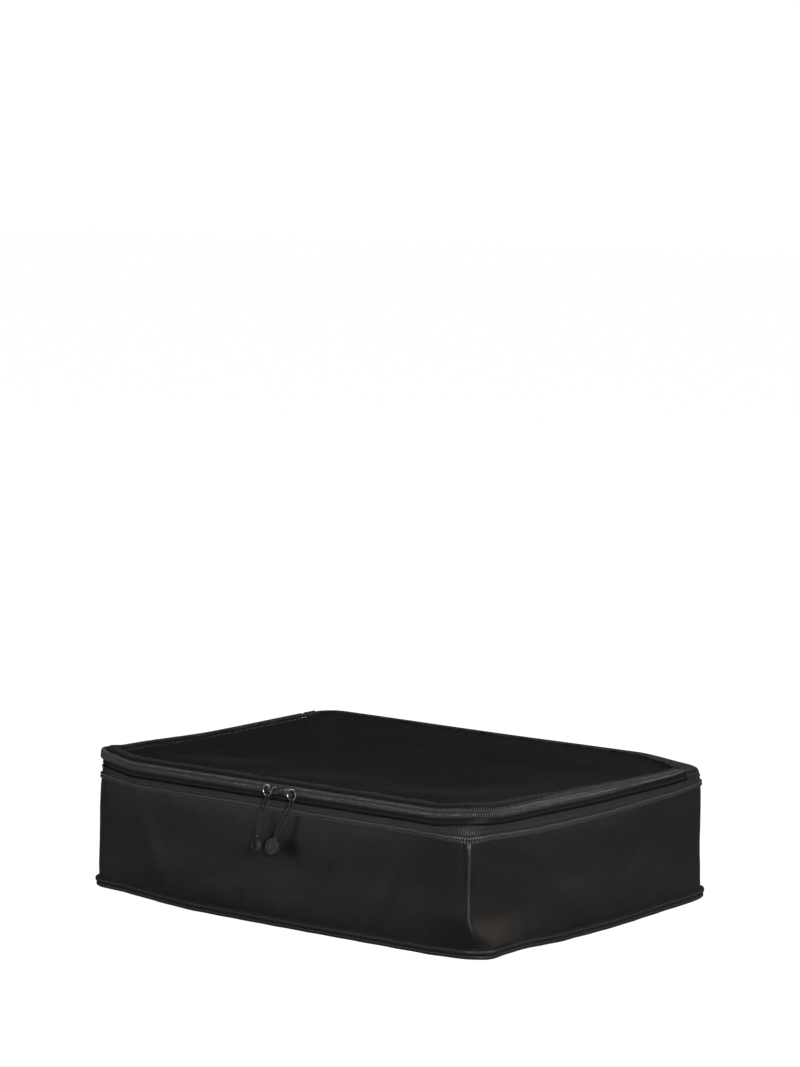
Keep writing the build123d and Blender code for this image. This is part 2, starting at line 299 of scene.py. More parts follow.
def make_object(name, points, faces, cloth=None):
    """A mesh object from points in millimetres. cloth is each face corner's (along, across) in the fabric and a third
    value, the share of painted highlight there.
    """
    mesh = bpy.data.meshes.new(name)
    faces = np.asarray(faces, np.int32)
    sides = faces.shape[1]
    mesh.vertices.add(len(points))
    mesh.vertices.foreach_set("co", (np.asarray(points) * MM).astype(np.float32).ravel())
    mesh.loops.add(faces.size)
    mesh.loops.foreach_set("vertex_index", faces.ravel())
    mesh.polygons.add(len(faces))
    mesh.polygons.foreach_set("loop_start", np.arange(0, faces.size, sides, dtype=np.int32))
    mesh.polygons.foreach_set("use_smooth", np.ones(len(faces), bool))
    if cloth is not None:
        layer = mesh.attributes.new("cloth", "FLOAT_VECTOR", "CORNER")
        layer.data.foreach_set("vector", np.asarray(cloth, np.float32).ravel())
    mesh.update(calc_edges=True)
    mesh.validate()
    item = bpy.data.objects.new(name, mesh)
    bpy.context.scene.collection.objects.link(item)
    return item


def quads(rows, columns, wrap_rows=False, wrap_columns=False):
    """Corner numbers of the faces of a grid of points, with the row and column each corner is read at."""
    r = np.arange(rows if wrap_rows else rows - 1)
    c = np.arange(columns if wrap_columns else columns - 1)
    r, c = (v.ravel() for v in np.meshgrid(r, c, indexing="ij"))
    at_rows = np.stack([r, r + 1, r + 1, r], 1)
    at_columns = np.stack([c, c, c + 1, c + 1], 1)
    return at_rows, at_columns


def skin(stations, outs, heights, closed_ring, closed_profile, cloth_across=None):
    """A strip round the bag: a profile of (out, height) points carried along stations. A closed profile makes a tube,
    and its two ends are open unless it goes right round. outs and heights may differ at each station."""
    stations = np.asarray(stations, float)
    outs, heights = np.atleast_2d(outs), np.atleast_2d(heights)
    rows, columns = len(stations), outs.shape[1]
    points = place(stations[:, None], outs, heights).reshape(rows, columns, 3)
    if cloth_across is None:
        steps = np.hypot(np.diff(outs[0], append=outs[0, 0]), np.diff(heights[0], append=heights[0, 0]))
        cloth_across = np.concatenate([[0], np.cumsum(steps)])
    else:
        cloth_across = np.append(cloth_across, cloth_across[0])
    at_rows, at_columns = quads(rows, columns, closed_ring, closed_profile)
    faces = (at_rows % rows) * columns + at_columns % columns
    along = np.append(stations, stations[0] + ROUND)[at_rows]
    cloth = np.stack([along, cloth_across[at_columns], np.zeros(along.shape)], -1)
    points = points.reshape(-1, 3)
    return points, outward(points, faces), cloth


def outward(points, faces):
    """The faces, all turned over if they enclose a negative volume."""
    a, b, c, d = (points[faces[:, k]] for k in range(4))
    inside = np.einsum("ij,ij->i", a, np.cross(b, c) + np.cross(c, d)).sum()
    return faces[:, ::-1] if inside < 0 else faces


def tidy(item):
    """Joins doubled points and drops faces with no size."""
    made = bmesh.new()
    made.from_mesh(item.data)
    bmesh.ops.remove_doubles(made, verts=made.verts, dist=1e-7)
    bmesh.ops.dissolve_degenerate(made, edges=made.edges, dist=1e-7)
    made.to_mesh(item.data)
    made.free()


def strip(name, profile, body, material, start=0.0, end=None, step=3.0, ripple=None, replaces=()):
    """A sewn strip: a closed profile of (out, height) from start to end, or right round the bag."""
    ring = end is None
    length = ROUND if ring else end - start
    count = max(8, int(round(length / step)))
    stations = start + np.arange(count) * length / count if ring else np.linspace(start, end, count)
    outs = np.array([p[0] for p in profile], float)[None, :]
    heights = np.array([p[1] for p in profile], float)[None, :]
    if ripple is not None:
        outs, heights = ripple(stations[:, None], outs, heights)
    points, faces, cloth = skin(stations, outs, heights, ring, True)
    item = make_object(name, points, faces, cloth)
    return dress(item, body, material, replaces)


def dress(item, body, material, replaces=()):
    item.data.materials.append(material)
    if body:
        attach(item, body)
    if replaces:
        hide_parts(*replaces)
    return item


# ---- Materials ----


class Shader:
    """A node material, built socket by socket. Lengths in it are in millimetres."""

    def __init__(self, name):
        self.material = bpy.data.materials.new(name)
        self.material.use_nodes = True
        self.tree = self.material.node_tree
        self.tree.nodes.clear()
        self.surface = self.add("ShaderNodeBsdfPrincipled")
        output = self.add("ShaderNodeOutputMaterial")
        self.tree.links.new(self.surface.outputs[0], output.inputs["Surface"])

    def add(self, kind, **settings):
        node = self.tree.nodes.new(kind)
        for key, value in settings.items():
            setattr(node, key, value)
        return node

    def feed(self, socket, value):
        if isinstance(value, bpy.types.NodeSocket):
            self.tree.links.new(value, socket)
        else:
            socket.default_value = value

    def math(self, operation, *values):
        node = self.add("ShaderNodeMath", operation=operation)
        for socket, value in zip(node.inputs, values):
            self.feed(socket, value)
        return node.outputs[0]

    def spread(self, value, low, high, to_low=0.0, to_high=1.0):
        node = self.add("ShaderNodeMapRange")
        for key, number in (("From Min", low), ("From Max", high), ("To Min", to_low), ("To Max", to_high)):
            node.inputs[key].default_value = number
        self.feed(node.inputs["Value"], value)
        return node.outputs[0]

    def noise(self, place, size, detail=2.0, roughness=0.5):
        """A random value from 0 to 1, with spots of this size."""
        node = self.add("ShaderNodeTexNoise")
        self.feed(node.inputs["Vector"], place)
        node.inputs["Scale"].default_value = 1.0 / size
        node.inputs["Detail"].default_value = detail
        node.inputs["Roughness"].default_value = roughness
        return node.outputs["Fac"]

    def wave(self, value, pitch):
        """A sine from 0 to 1, with this pitch along a length."""
        turns = self.math("MULTIPLY", value, 2 * math.pi / pitch)
        return self.math("MULTIPLY_ADD", self.math("SINE", turns), 0.5, 0.5)

    def cloth(self):
        """Lengths along the cloth and across it, and how much painted highlight is laid on there."""
        attribute = self.add("ShaderNodeAttribute", attribute_name="cloth")
        parts = self.add("ShaderNodeSeparateXYZ")
        self.feed(parts.inputs[0], attribute.outputs["Vector"])
        return attribute.outputs["Vector"], parts.outputs[0], parts.outputs[1], parts.outputs[2]

    def solid(self):
        """The place in the object, in millimetres."""
        coordinates = self.add("ShaderNodeTexCoord")
        node = self.add("ShaderNodeVectorMath", operation="SCALE")
        self.feed(node.inputs[0], coordinates.outputs["Object"])
        node.inputs["Scale"].default_value = 1 / MM
        return node.outputs[0]

    def mix(self, share, first, second):
        node = self.add("ShaderNodeMix", data_type="RGBA")
        self.feed(node.inputs["Factor"], share)
        self.feed(node.inputs["A"], first)
        self.feed(node.inputs["B"], second)
        return next(s for s in node.outputs if s.type == "RGBA")

    def bump(self, height, depth_mm):
        node = self.add("ShaderNodeBump")
        self.feed(node.inputs["Height"], height)
        node.inputs["Distance"].default_value = depth_mm * MM
        return node.outputs[0]

    def finish(self, color, roughness, normal=None, metallic=0.0, sheen=0.0, sheen_tint=None, specular=0.5):
        inputs = self.surface.inputs
        self.feed(inputs["Base Color"], color)
        self.feed(inputs["Roughness"], roughness)
        if normal is not None:
            self.feed(inputs["Normal"], normal)
        inputs["Metallic"].default_value = metallic
        inputs["Specular IOR Level"].default_value = specular
        inputs["Sheen Weight"].default_value = sheen
        inputs["Sheen Roughness"].default_value = 0.45
        if sheen_tint:
            inputs["Sheen Tint"].default_value = (*sheen_tint, 1)
        return self.material


def grey(value, warm=0.0):
    return (value * (1 + warm), value, value * (1 - warm), 1)


def fabric_material(
    name, tone, pitch, depth, roughness, sheen, ribs="plain", warm=0.03, grain=0.5, specular=0.4, painted_rib_highlight=0.0
):
    """Woven cloth. ribs is plain, twill (slanted), cross (ribs across the strip) or line (ribs along it), and the last
    setting is a painted highlight: how light the tops of the ribs are painted, where that is lighter than the cloth's
    own tone."""
    shader = Shader(name)
    place_in, along, across, painted_highlight = shader.cloth()
    if ribs == "plain":
        weave = shader.math("MULTIPLY", shader.wave(along, pitch), shader.wave(across, pitch))
    elif ribs == "twill":
        slant = shader.math("ADD", along, shader.math("MULTIPLY", across, 0.9))
        weave = shader.math("MULTIPLY_ADD", shader.wave(along, pitch / 2), 0.25, shader.wave(slant, pitch))
    elif ribs == "cross":
        weave = shader.math("MULTIPLY_ADD", shader.wave(across, pitch * 1.6), 0.35, shader.wave(along, pitch))
    else:
        weave = shader.math("MULTIPLY_ADD", shader.wave(along, pitch * 1.4), 0.4, shader.wave(across, pitch))
    threads = shader.noise(place_in, 0.7, 3.0, 0.6)
    spots = shader.noise(place_in, 4.0, 3.0)
    clouds = shader.noise(place_in, 45.0, 2.0)
    lint = shader.spread(shader.noise(place_in, 0.9, 1.0), 0.74, 0.8)
    height = shader.math("ADD", weave, shader.math("MULTIPLY", threads, grain))
    shade = shader.math("MULTIPLY_ADD", weave, 0.34, shader.math("MULTIPLY", threads, 0.36))
    shade = shader.math("ADD", shade, shader.math("MULTIPLY", spots, 0.2))
    shade = shader.math("ADD", shade, shader.math("MULTIPLY", clouds, 0.22))
    color = shader.mix(shader.spread(shade, 0.25, 0.9), grey(tone * 0.62, warm), grey(tone * 1.5, warm))
    color = shader.mix(shader.math("MULTIPLY", lint, 0.3), color, grey(tone * 5, warm))
    # Painted highlight: lighter where the cloth's third value is set, along the pressed crease.
    color = shader.mix(shader.math("MULTIPLY", painted_highlight, 0.5), color, grey(tone * 3.2, warm))
    # Painted highlight: the tops of the ribs are made lighter.
    color = shader.mix(shader.spread(weave, 0.75, 1.15), color, grey(max(painted_rib_highlight, tone), warm))
    rough = shader.spread(shader.math("ADD", threads, clouds), 0.6, 1.4, roughness - 0.07, roughness + 0.07)
    normal = shader.bump(height, depth)
    return shader.finish(color, rough, normal, sheen=sheen, sheen_tint=(0.9, 0.88, 0.84), specular=specular)


def thread_material(name, tone, roughness=0.5, sheen=0.2, specular=0.4):
    """Smooth twisted thread or nylon coil, in the object's own lengths."""
    shader = Shader(name)
    where = shader.solid()
    hairs = shader.noise(where, 0.35, 3.0, 0.6)
    spots = shader.noise(where, 6.0, 2.0)
    shade = shader.math("MULTIPLY_ADD", hairs, 0.6, shader.math("MULTIPLY", spots, 0.4))
    color = shader.mix(shader.spread(shade, 0.3, 0.7), grey(tone * 0.7, 0.02), grey(tone * 1.4, 0.02))
    rough = shader.spread(hairs, 0.3, 0.7, roughness - 0.06, roughness + 0.08)
    return shader.finish(color, rough, shader.bump(hairs, 0.06), sheen=sheen, specular=specular)


def braid_material(name, tone, pitch=1.1):
    """A round braided cord: strands that cross in slanted rows."""
    shader = Shader(name)
    where = shader.solid()
    parts = shader.add("ShaderNodeSeparateXYZ")
    shader.feed(parts.inputs[0], where)
    across = shader.math("ADD", parts.outputs[0], parts.outputs[1])
    one = shader.wave(shader.math("ADD", parts.outputs[2], across), pitch)
    other = shader.wave(shader.math("SUBTRACT", parts.outputs[2], across), pitch)
    strands = shader.math("MAXIMUM", one, other)
    hairs = shader.noise(where, 0.25, 2.0)
    height = shader.math("MULTIPLY_ADD", hairs, 0.3, strands)
    color = shader.mix(strands, grey(tone * 0.5), grey(tone * 1.5))
    return shader.finish(color, 0.7, shader.bump(height, 0.14), sheen=0.05, specular=0.3)


def metal_material(name, tone, roughness):
    """Bright nickel plate with fine scratches and a little tarnish in broad spots."""
    shader = Shader(name)
    where = shader.solid()
    stretch = shader.add("ShaderNodeMapping")
    shader.feed(stretch.inputs["Vector"], where)
    stretch.inputs["Scale"].default_value = (1.0, 1.0, 6.0)
    scratches = shader.noise(stretch.outputs[0], 0.6, 4.0, 0.7)
    tarnish = shader.noise(where, 2.6, 3.0)
    color = shader.mix(shader.spread(tarnish, 0.35, 0.7), grey(tone, 0.02), grey(tone * 0.74, 0.05))
    rough = shader.spread(scratches, 0.3, 0.75, roughness - 0.05, roughness + 0.12)
    return shader.finish(color, rough, shader.bump(scratches, 0.02), metallic=1.0)


def rubber_material(name, tone):
    """Moulded rubber with a fine grain, rubbed lighter in places."""
    shader = Shader(name)
    where = shader.solid()
    grain = shader.noise(where, 0.35, 3.0, 0.6)
    rubbed = shader.spread(shader.noise(where, 3.5, 3.0), 0.45, 0.75)
    color = shader.mix(rubbed, grey(tone, 0.02), grey(tone * 1.8, 0.02))
    rough = shader.spread(grain, 0.3, 0.7, 0.5, 0.62)
    return shader.finish(color, rough, shader.bump(grain, 0.04), specular=0.5)


nylon = fabric_material("lined_nylon", 0.0075, 0.55, 0.045, 0.4, 0.02, "plain", 0.05, 0.9, 0.4)
# The last number of each ribbed fabric is a painted highlight on its rib tops.
tape_cloth = fabric_material("ribbed_tape", 0.008, 2.0, 0.12, 0.4, 0.03, "cross", 0.02, 0.7, 0.45, 0.03)
BASE_DASH = whole(2.2)  # pitch of the bindings' ribs
RIM_DASH = whole(1.95)
base_tape = fabric_material("base_tape", 0.006, BASE_DASH, 0.06, 0.45, 0.02, "cross", 0.02, 0.5, 0.4, 0.045)
rim_tape = fabric_material("rim_tape", 0.006, RIM_DASH, 0.06, 0.4, 0.02, "cross", 0.02, 0.5, 0.45, 0.14)
twill = fabric_material("twill", 0.008, 1.9, 0.2, 0.6, 0.02, "twill", 0.03, 0.7, 0.35, 0.09)
zip_cloth = fabric_material("zip_tape", 0.005, 0.7, 0.08, 0.62, 0.01, "line", 0.02, 0.4, 0.3)
selvedge_cloth = fabric_material("selvedge", 0.006, 0.8, 0.12, 0.65, 0.04, "cross", 0.03, 0.8, 0.3)
lining = fabric_material("base_nylon", 0.009, 0.6, 0.05, 0.5, 0.03, "plain", 0.04, 0.9, 0.3)
net_thread = thread_material("net_thread", 0.003, 0.6, 0.01, 0.15)
# The coil's nylon is painted lighter than the black cloth: a painted highlight for the glints on its teeth.
coil_nylon_painted_glint = thread_material("coil_nylon_painted_glint", 0.06, 0.24, 0.0, 0.8)
sewing_thread = thread_material("sewing_thread", 0.04, 0.5, 0.05, 0.35)
cord_braid = braid_material("cord_braid", 0.02)
# One nickel in two copies: the slider's is painted dark, a painted dark reflection, and the ring's is painted bright, a
# painted bright reflection.
painted_dark_nickel = metal_material("nickel_plate_painted_dark", 0.22, 0.2)
painted_bright_ring_nickel = metal_material("nickel_wire_painted_bright", 0.95, 0.15)
rubber = rubber_material("moulded_rubber", 0.018)

# ---- Cords ----


def node_ring(name):
    """The lowest point of a ring's middle line, in millimetres, from its box."""
    low, high = node_box(name)
    wire = (high[1] - low[1]) / 2
    return np.array([(low[0] + high[0]) / 2, (low[1] + high[1]) / 2, low[2] + wire])


CORD_D = 1.3
LEFT_ROUTE = [
    (-5.2, -7.9, -33.8), (-4.6, -7.2, -25.6), (-3.2, -6.4, -17.0), (-1.8, -4.4, -9.2),
    (-0.4, -2.0, -3.6), (0.0, -1.5, 1.5), (0.0, 1.5, 1.5), (0.1, 1.6, -3.6),
    (-0.4, -1.2, -9.2), (-1.6, -4.6, -17.0), (-2.9, -6.4, -25.6), (-3.4, -7.8, -33.8),
]
RIGHT_ROUTE = [
    (-10.7, -9.0, -31.8), (-8.8, -8.2, -24.2), (-6.0, -6.6, -16.4), (-3.0, -4.5, -9.2),
    (-0.6, -2.0, -3.6), (0.0, -1.5, 1.5), (0.0, 1.5, 1.5), (0.3, 1.6, -3.6),
    (0.0, -1.2, -9.3), (-2.4, -4.9, -16.6), (-5.7, -7.3, -24.6), (-8.8, -8.9, -32.4),
]

for side, route in (("left", LEFT_ROUTE), ("right", RIGHT_ROUTE)):
    start = node_ring(side + "_pull_ring")
    curve = bpy.data.curves.new(side + "_cord", "CURVE")
    curve.dimensions = "3D"
    curve.resolution_u = 12
    curve.bevel_depth = CORD_D / 2 * MM
    curve.bevel_resolution = 4
    curve.use_fill_caps = True
    spline = curve.splines.new("NURBS")
    spline.points.add(len(route) - 1)
    for point, offset in zip(spline.points, route):
        point.co = (*((start + offset) * MM), 1)
    spline.order_u = 3
    spline.use_endpoint_u = True
    curve.materials.append(cord_braid)
    cord = bpy.data.objects.new(side + "_cord", curve)
    bpy.context.scene.collection.objects.link(cord)
    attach(cord, side + "_pull")
    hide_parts(side + "_pull_cord")

for side in ("left", "right"):
    for part, material in (("slider", painted_dark_nickel), ("pull_ring", painted_bright_ring_nickel), ("pull_disc", rubber)):
        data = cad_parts[side + "_" + part].data
        data.materials.clear()
        data.materials.append(material)

# ---- The bag ----


def profile_between(points, step):
    """Points along a run of (out, height) corners, this far apart or closer."""
    found = []
    for a, b in zip(points, points[1:]):
        a, b = np.array(a, float), np.array(b, float)
        count = max(1, int(math.ceil(np.linalg.norm(b - a) / step)))
        found += [tuple(a + (b - a) * k / count) for k in range(count)]
    return found


def sewn_part(name, profile, body, material, replaces, first=0.0, last=None, step=1.5, painted_highlight=None):
    """A shell round the bag from one station to another."""
    ring = last is None
    length = ROUND if ring else last - first
    count = int(round(length / step))
    stations = first + np.arange(count) * length / count if ring else np.linspace(first, last, count)
    outs = [p[0] for p in profile]
    heights = [p[1] for p in profile]
    points, faces, cloth = skin(stations, outs, heights, ring, True, cloth_across=np.array(heights))
    if painted_highlight is not None:
        # The cloth's third value carries a painted highlight.
        cloth[..., 2] = painted_highlight(cloth[..., 0], cloth[..., 1])
    return dress(make_object(name, points, faces, cloth), body, material, replaces)


# Painted highlight along the pressed crease at the front right corner, carried in the cloth's third value.
def crease_painted_highlight(s, z):
    return np.clip(crease(s, z) * 0.9, 0, 1)


SEAM_BINDING_W = 8.0
seam_station = seam_high[0] - SEAM_BINDING_W / 2
outer_side = [(0.0, 1.2), (0.0, SEAM_Z + 1.0)]
inner_side = [(-FABRIC_T, SEAM_Z + 1.0), (-FABRIC_T, 1.2)]
shell = profile_between(outer_side + inner_side + outer_side[:1], 3.0)
sewn_part(
    "wall_strip", shell, "bag", nylon, ["side_wall"],
    first=seam_station, last=ROUND - seam_station, painted_highlight=crease_painted_highlight,
)
sewn_part(
    "back_panel", shell, "bag", nylon, ["back_wall"],
    first=-seam_station, last=seam_station, painted_highlight=crease_painted_highlight,
)


def join(name, made, body, material, replaces=()):
    """One object from several (points, faces, cloth) pieces."""
    points, faces, cloth, start = [], [], [], 0
    for some_points, some_faces, some_cloth in made:
        points.append(some_points)
        faces.append(np.asarray(some_faces) + start)
        cloth.append(some_cloth)
        start += len(some_points)
    item = make_object(name, np.vstack(points), np.vstack(faces), np.vstack(cloth))
    return dress(item, body, material, replaces)


seam_column = profile_between([(-2.1, 1.5), (-2.1, SEAM_Z), (-1.1, SEAM_Z), (-1.1, 1.5), (-2.1, 1.5)], 3.0)
pair = []
for side in (-1, 1):
    stations = side * seam_station + np.linspace(-SEAM_BINDING_W / 2, SEAM_BINDING_W / 2, 9)
    pair.append(skin(stations, [p[0] for p in seam_column], [p[1] for p in seam_column], False, True))
join("back_seam_tapes", pair, "bag", tape_cloth, ["back_seam_bindings"])


def base_floor():
    """The base panel: rings from the middle out to the wall, puckered."""
    count = 300
    stations = np.arange(count) * ROUND / count
    edge = place(stations, -FABRIC_T / 2, 0.4)
    shares = np.linspace(0, 1, 46) ** 0.85
    points = []
    for upper in (False, True):
        lift = 0.4 + FABRIC_T if upper else 0.4
        for share in shares:
            ring = edge.copy()
            ring[:, :2] *= share
            ring[:, 2] = lift + (edge[:, 2] - 0.4) * share**6
            x, y = ring[:, 0], ring[:, 1]
            dimple = 0.5 * np.sin(x / 23 + 1.5 * np.sin(y / 31)) * np.sin(y / 27 + x / 60)
            ring[:, 2] += (0.55 + dimple) * (1 - share**4) * (1.0 if upper else 0.5)
            points.append(ring)
    points = np.array(points)
    rows = len(shares)
    faces, cloth = [], []
    flat = points.reshape(-1, 3)
    for layer in (0, 1):
        at_rows, at_columns = quads(rows, count, False, True)
        made = (at_rows + layer * rows) * count + at_columns % count
        faces.append(made if layer == 0 else made[:, ::-1])
    low = (rows - 1) * count + np.arange(count)
    high = low + rows * count
    faces.append(np.stack([low, high, np.roll(high, -1), np.roll(low, -1)], 1))
    faces = np.vstack(faces)
    cloth = flat[faces]
    cloth[..., 2] = 0
    item = make_object("base_cloth", flat, outward(flat, faces), cloth)
    tidy(item)
    return dress(item, "bag", lining, ["base_panel"])


base_floor()

# ---- Bindings ----


def dashes(stations, pitch, depth):
    """Ribs: a bulge that repeats along the strip."""
    return depth * (0.5 + 0.5 * np.sin(2 * math.pi * (stations / pitch))) ** 0.6


LOBE_POINTS = 7
LOBE_POWER = 0.55  # below 1 makes a lobe squarer than a half round


def lobes(outs, heights, spans):
    """A cross-section that swells out from a flat back: each span is (low, high, out)."""
    profile = [(outs, heights[0])]
    for low, high, out in spans:
        middle, half = (low + high) / 2, (high - low) / 2
        for k in range(LOBE_POINTS):
            turn = math.pi * (0.5 - k / (LOBE_POINTS - 1))
            profile.append((outs + (out - outs) * math.cos(turn) ** LOBE_POWER, middle - half * math.sin(turn)))
    profile.append((outs, heights[1]))
    return profile


base_profile = lobes(0.3, (0.2, 9.2), [(0.2, 3.9, 2.5), (4.0, 9.1, 3.5)])
rim_low, rim_top = binding_low[2], binding_high[2]
rim_profile = lobes(0.2, (rim_low, rim_top), [(rim_low, rim_low + 2.35, 1.9), (rim_low + 2.6, rim_top, 2.2)])


def ribbed(pitch, depth, top_only=None):
    """Ribs all over a binding, or fainter below the height top_only."""
    def ripple(stations, outs, heights):
        outs, heights = np.broadcast_arrays(outs, heights)
        strength = np.clip(outs - 0.6, 0, 1)
        if top_only is not None:
            strength = strength * (0.35 + 0.65 * (heights > top_only))
        wander = 0.12 * np.sin(stations / 7.3) + 0.1 * np.sin(stations / 2.9 + 1)
        return outs - depth * strength + dashes(stations, pitch, depth) * strength + wander * 0.5, (
            heights + 0.1 * np.sin(stations / 5.1 + 2)
        )
    return ripple


strip(
    "base_piping", base_profile, "bag", base_tape, step=0.45,
    ripple=ribbed(BASE_DASH, 0.5, 4.0), replaces=["base_binding"],
)
strip(
    "rim_piping", rim_profile, "bag", rim_tape, step=0.4,
    ripple=ribbed(RIM_DASH, 0.55), replaces=["rim_binding"],
)

# ---- The strip above the seam: twill band, zip, hinge and lid edge ----
# Heights here are the cloth's own width above the wall, before it rolls inwards.

LIP = 1.45
band_profile = [
    (-0.7, rim_top - 1.6), (0.15, rim_top - 1.6), (0.35, rim_top + 0.4), (0.55, rim_top + 2.2),
    (1.1, BAND_Z - 1.0), (LIP, BAND_Z - 0.4), (LIP - 0.1, BAND_Z + 0.1), (1.0, BAND_Z + 0.3),
    (-0.2, BAND_Z), (-0.7, BAND_Z - 1.0), (-0.7, BAND_Z - 3.0),
]


def uneven(amount):
    def ripple(stations, outs, heights):
        outs, heights = np.broadcast_arrays(outs, heights)
        top = smooth((heights - rim_top - 1) / 3)
        wander = 0.5 * np.sin(stations / 17 + 1) + 0.5 * np.sin(stations / 6.1)
        return outs + amount * top * wander, heights + amount * 0.7 * top * np.sin(stations / 11 + 3)
    return ripple


strip(
    "twill_band", band_profile, "bag", twill, step=2.0, ripple=uneven(0.22), replaces=["rim_band"],
)

ZIP_FIRST = ENDS[2] + (RUN_Y - ZIP_END)
ZIP_LAST = ROUND - ZIP_FIRST
COIL_FIRST = ENDS[2] + (RUN_Y - COIL_END)
COIL_LAST = ROUND - COIL_FIRST
GAP = upper_coil_low[2] - lower_coil_high[2]
upper_tape_low = SPLIT_Z + GAP / 2
LID_EDGE_W = 29.6  # along the cloth to the middle of the lid's soft selvedge


def sheet_profile(low, high, under, over, step):
    """A closed profile of a flat strip of cloth."""
    return profile_between([(over, low), (over, high), (under, high), (under, low), (over, low)], step)


groove = [
    (-0.9, BAND_Z - 2.0), (-0.9, BAND_Z + 0.3), (-0.4, BAND_Z + 1.0), (0.35, BAND_Z + 1.7), (0.6, BAND_Z + 2.4),
    (0.6, BAND_Z + 4.2), (0.6, BAND_Z + 6.0), (0.6, SPLIT_Z - GAP / 2), (0.0, SPLIT_Z - GAP / 2), (0.0, BAND_Z + 3.0),
    (-1.2, BAND_Z + 1.0), (-1.4, BAND_Z - 2.0),
]
strip(
    "zip_tape_low", groove, "bag", zip_cloth, start=ZIP_FIRST, end=ZIP_LAST, step=2.0,
    replaces=["lower_zip_tape"],
)
strip(
    "zip_tape_high", sheet_profile(upper_tape_low, SEAM_Z + LID_EDGE_W - 0.6, 0.0, 0.6, 0.7), "lid",
    zip_cloth, start=ZIP_FIRST, end=ZIP_LAST, step=2.0, replaces=["upper_zip_tape"],
)

# Each tooth of the coil is a bent wire that goes from the row's back edge over to its head.
TOOTH_PITCH = 1.75
TOOTH_R = 0.42
TOOTH_SIDES = 6
TOOTH = [(0.25, 1.0), (-0.05, 1.75), (0.3, 2.4), (1.6, 2.62), (2.9, 2.6), (3.55, 2.3), (3.6, 1.6), (3.1, 1.05)]
TOOTH_WIDE = [1.0, 1.0, 1.0, 1.0, 1.0, 1.15, 1.15, 1.0]


def coil_row(name, back_edge, towards, shift, body, replaces):
    """A row of teeth. towards is 1 where the heads point up, from the row's back edge, and -1 where down."""
    count = int((COIL_LAST - COIL_FIRST) / TOOTH_PITCH)
    middle = COIL_FIRST + (np.arange(count) + 0.5 + shift) * TOOTH_PITCH
    path = np.array(TOOTH)
    path[:, 0] = back_edge + towards * path[:, 0]
    before = np.roll(path, 1, 0)
    before[0] = 2 * path[0] - path[1]
    after = np.roll(path, -1, 0)
    after[-1] = 2 * path[-1] - path[-2]
    run = after - before
    run /= np.linalg.norm(run, axis=1)[:, None]
    across = np.stack([-run[:, 1], run[:, 0]], 1)
    around = np.arange(TOOTH_SIDES) * 2 * math.pi / TOOTH_SIDES
    wide = TOOTH_R * np.array(TOOTH_WIDE)
    offset_s = wide[:, None] * np.cos(around)[None, :]
    offset_h = across[:, None, 0] * np.sin(around)[None, :] * TOOTH_R
    offset_o = across[:, None, 1] * np.sin(around)[None, :] * TOOTH_R
    s = middle[:, None, None] + offset_s[None]
    heights = np.broadcast_to((path[:, None, 0] + offset_h)[None], s.shape)
    outs = np.broadcast_to((path[:, None, 1] + offset_o)[None], s.shape)
    points = place(s, outs, heights)
    rows, columns = len(path), TOOTH_SIDES
    at_rows, at_columns = quads(rows, columns, False, True)
    one = at_rows * columns + at_columns % columns
    caps = np.array([[0, 1, 2, 3], [0, 3, 4, 5]])
    far = (rows - 1) * columns
    one = np.vstack([one, caps[:, ::-1], caps + far])
    faces = (one[None] + (np.arange(count) * rows * columns)[:, None, None]).reshape(-1, 4)
    if towards < 0:
        faces = faces[:, ::-1]
    item = make_object(name, points.reshape(-1, 3), faces)
    return dress(item, body, coil_nylon_painted_glint, replaces)


coil_row("coil_low", lower_coil_low[2], 1, 0.0, "bag", ["lower_zip_coil"])
coil_row("coil_high", upper_coil_high[2], -1, 0.5, "lid", ["upper_zip_coil"])


def thread_line(name, height, out, body, pitch=TOOTH_PITCH, thick=0.3):
    """A sewn thread that dips between stitches, over a row of the coil."""
    around = [(out + thick * math.cos(a), height + thick * 0.9 * math.sin(a)) for a in np.arange(5) * 2 * math.pi / 5]

    def dip(stations, outs, heights):
        outs, heights = np.broadcast_arrays(outs, heights)
        wave = np.sin(2 * math.pi * (stations - COIL_FIRST) / pitch)
        return outs + 0.16 * wave, heights + 0.1 * np.sin(2 * math.pi * (stations - COIL_FIRST) / pitch / 2)

    return strip(
        name, around, body, sewing_thread, start=COIL_FIRST + 1, end=COIL_LAST - 1, step=0.43, ripple=dip,
    )


thread_line("coil_thread_low", lower_coil_low[2] + 1.25, 2.75, "bag")
thread_line("coil_thread_high", upper_coil_high[2] - 1.25, 2.75, "lid")


def stitches(name, height, out, pitch, length, first, last, body, material, radius=0.2):
    """Separate stitches: short rounded bars that sink into the cloth at both ends."""
    count = int((last - first) / pitch)
    middle = first + (np.arange(count) + 0.5) * pitch
    shares = np.array([-0.5, -0.42, -0.2, 0.2, 0.42, 0.5])
    sunk = np.array([-0.32, -0.1, 0.06, 0.06, -0.1, -0.32])
    wide = np.array([0.4, 0.85, 1, 1, 0.85, 0.4]) * radius
    around = np.arange(6) * math.pi / 3
    s = middle[:, None, None] + (shares * length)[None, :, None] + 0 * around[None, None, :]
    heights = height + wide[None, :, None] * np.sin(around)[None, None, :] + 0 * s
    outs = out + sunk[None, :, None] + wide[None, :, None] * np.cos(around)[None, None, :] + 0 * s
    heights = heights + 0.12 * np.sin(middle / 3.7)[:, None, None]
    points = place(s, outs, heights).reshape(-1, 3)
    at_rows, at_columns = quads(6, 6, False, True)
    one = np.vstack([at_rows * 6 + at_columns % 6, [[3, 2, 1, 0], [5, 4, 3, 0], [30, 31, 32, 33], [30, 33, 34, 35]]])
    faces = (one[None] + (np.arange(count) * 36)[:, None, None]).reshape(-1, 4)
    return dress(make_object(name, points, faces), body, material)


